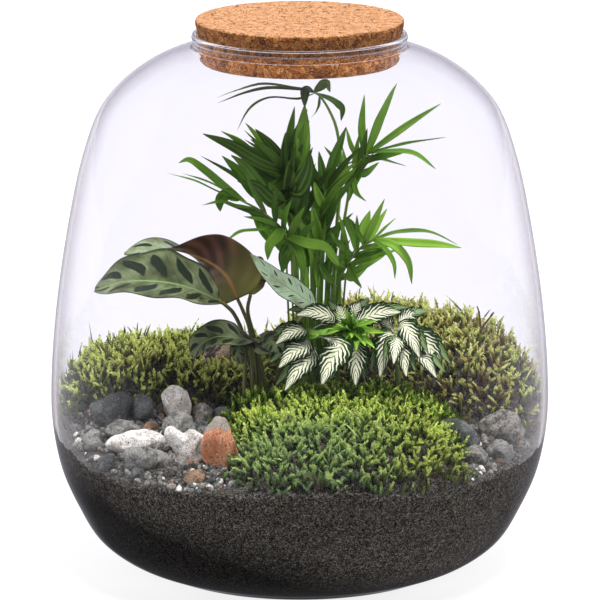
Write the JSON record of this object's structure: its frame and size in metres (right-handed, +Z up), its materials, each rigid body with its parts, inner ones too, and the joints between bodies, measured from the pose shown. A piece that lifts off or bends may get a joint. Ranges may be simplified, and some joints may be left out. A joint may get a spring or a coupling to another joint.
{
  "type": "glass plant terrarium",
  "caption": "Closed clear glass jar with a cork stopper, planted with a palm, a striped prayer plant and a nerve plant over moss, stones and dark soil.",
  "frame": {"origin": "centre of the jar's resting face", "axes": "+Z up through the cork, -Y towards the viewer of the pictured front, +X to the viewer's right"},
  "size_m": [0.2782, 0.2798, 0.3095],
  "materials": {
    "glass": "clear, faintly lavender, glossy",
    "cork": "pressed cork granules, matt",
    "soil": "dark loose granules, matt",
    "moss_olive": "olive moss sprigs",
    "moss_bright": "bright green moss sprigs",
    "stone_white": "pale quartz pebble, rough",
    "stone_grey": "grey pebble, rough",
    "stone_dark": "dark slate pebble, rough",
    "stone_terracotta": "terracotta coloured pebble, rough",
    "palm_leaf": "thin living leaf, satin",
    "calathea_leaf": "pale leaf with dark bars, satin",
    "calathea_stem": "fleshy sheath stem, satin",
    "fittonia_leaf": "dark green leaf with white veins, satin",
    "twig": "dry bark, matt"
  },
  "bodies": {
    "root": {"calathea_leaf_back": "calathea_leaf", "calathea_leaf_dark": "calathea_leaf", "calathea_leaf_front": "calathea_leaf", "calathea_leaf_right": "calathea_leaf", "calathea_sheath": "calathea_stem", "cork_stopper": "cork", "fittonia_left": "fittonia_leaf", "fittonia_middle": "fittonia_leaf", "fittonia_right": "fittonia_leaf", "glass_jar": "glass", "moss_front": "moss_bright", "moss_left": "moss_olive", "moss_right": "moss_olive", "palm_frond_left_lower": "palm_leaf", "palm_frond_left_upper": "palm_leaf", "palm_frond_middle": "palm_leaf", "palm_frond_right_lower": "palm_leaf", "palm_frond_right_upper": "palm_leaf", "palm_frond_tall": "palm_leaf", "soil": "soil", "stone_01": "stone_dark", "stone_02": "stone_dark", "stone_03": "stone_white", "stone_04": "stone_grey", "stone_05": "stone_grey", "stone_06": "stone_terracotta", "stone_07": "stone_white", "stone_08": "stone_grey", "stone_09": "stone_white", "stone_10": "stone_terracotta", "stone_11": "stone_dark", "stone_12": "stone_grey", "stone_13": "stone_dark", "stone_14": "stone_grey", "stone_15": "stone_grey", "stone_16": "stone_terracotta", "stone_17": "stone_dark", "stone_18": "stone_white", "stone_19": "stone_dark", "stone_20": "stone_grey", "stone_21": "stone_white", "stone_22": "stone_grey", "twig_right": "twig"}
  },
  "joints": []
}
